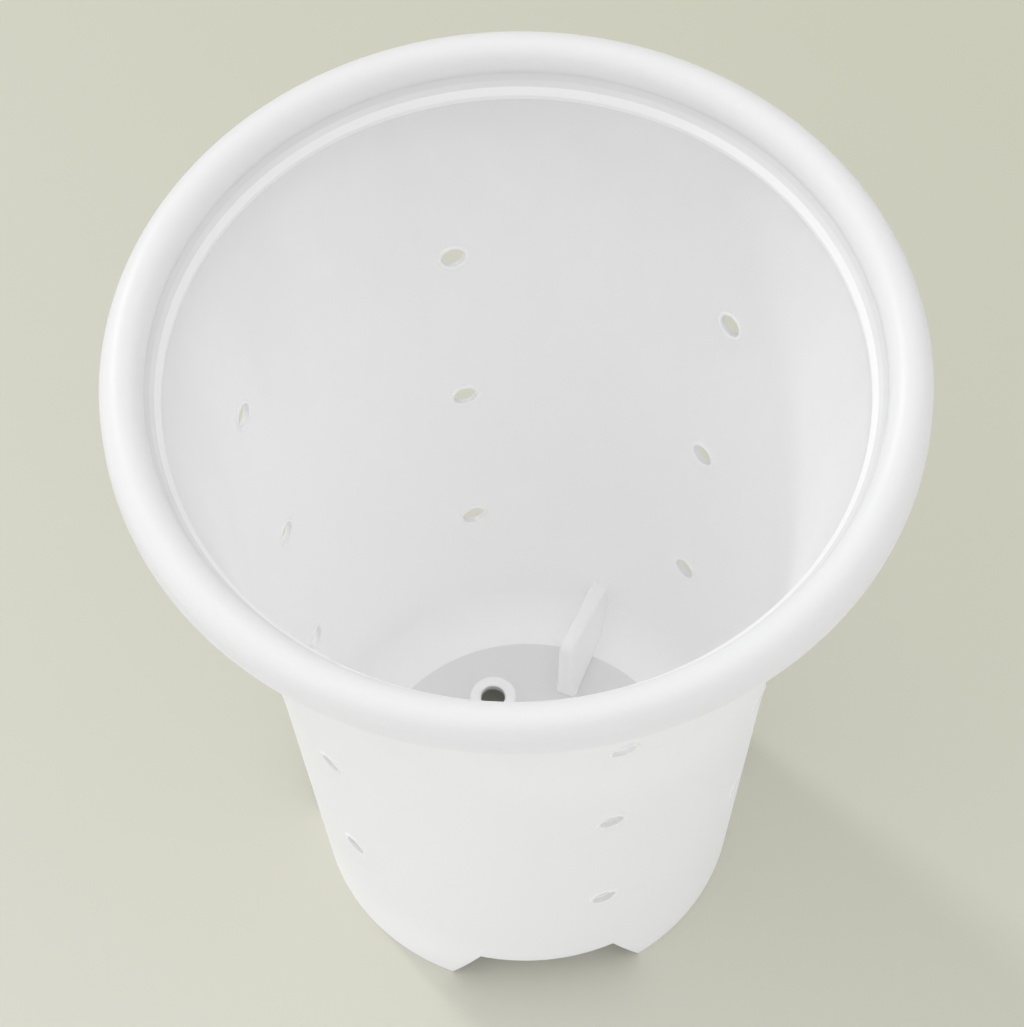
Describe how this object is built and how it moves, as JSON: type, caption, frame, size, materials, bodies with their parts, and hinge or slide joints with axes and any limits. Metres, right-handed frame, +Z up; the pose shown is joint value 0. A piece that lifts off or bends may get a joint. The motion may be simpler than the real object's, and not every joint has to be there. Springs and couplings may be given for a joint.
{
  "type": "orchid pot",
  "caption": "Tall tapered orchid pot in milky plastic with a rolled rim, round side vents, root fins, ringed drain holes and a notched foot.",
  "frame": {"origin": "on the ground at the middle of the foot ring, under the pot's axis", "axes": "+Z up along the pot's axis, -Y towards the notch that faces the viewer in the picture, +X to its right"},
  "size_m": [0.15, 0.15, 0.1734],
  "materials": {
    "natural_polypropylene": "milky translucent natural polypropylene with a satin mould texture"
  },
  "bodies": {
    "root": {"drain_collar_1": "natural_polypropylene", "drain_collar_2": "natural_polypropylene", "drain_collar_3": "natural_polypropylene", "drain_collar_4": "natural_polypropylene", "floor_pan": "natural_polypropylene", "foot_1": "natural_polypropylene", "foot_2": "natural_polypropylene", "foot_3": "natural_polypropylene", "rim_ledge": "natural_polypropylene", "rim_lip": "natural_polypropylene", "root_fin_1": "natural_polypropylene", "root_fin_2": "natural_polypropylene", "root_fin_3": "natural_polypropylene", "root_fin_4": "natural_polypropylene", "side_wall": "natural_polypropylene", "vent_eyelet_1_1": "natural_polypropylene", "vent_eyelet_1_2": "natural_polypropylene", "vent_eyelet_1_3": "natural_polypropylene", "vent_eyelet_2_1": "natural_polypropylene", "vent_eyelet_2_2": "natural_polypropylene", "vent_eyelet_2_3": "natural_polypropylene", "vent_eyelet_3_1": "natural_polypropylene", "vent_eyelet_3_2": "natural_polypropylene", "vent_eyelet_3_3": "natural_polypropylene", "vent_eyelet_4_1": "natural_polypropylene", "vent_eyelet_4_2": "natural_polypropylene", "vent_eyelet_4_3": "natural_polypropylene", "vent_eyelet_5_1": "natural_polypropylene", "vent_eyelet_5_2": "natural_polypropylene", "vent_eyelet_5_3": "natural_polypropylene", "vent_eyelet_6_1": "natural_polypropylene", "vent_eyelet_6_2": "natural_polypropylene", "vent_eyelet_6_3": "natural_polypropylene"}
  },
  "joints": []
}
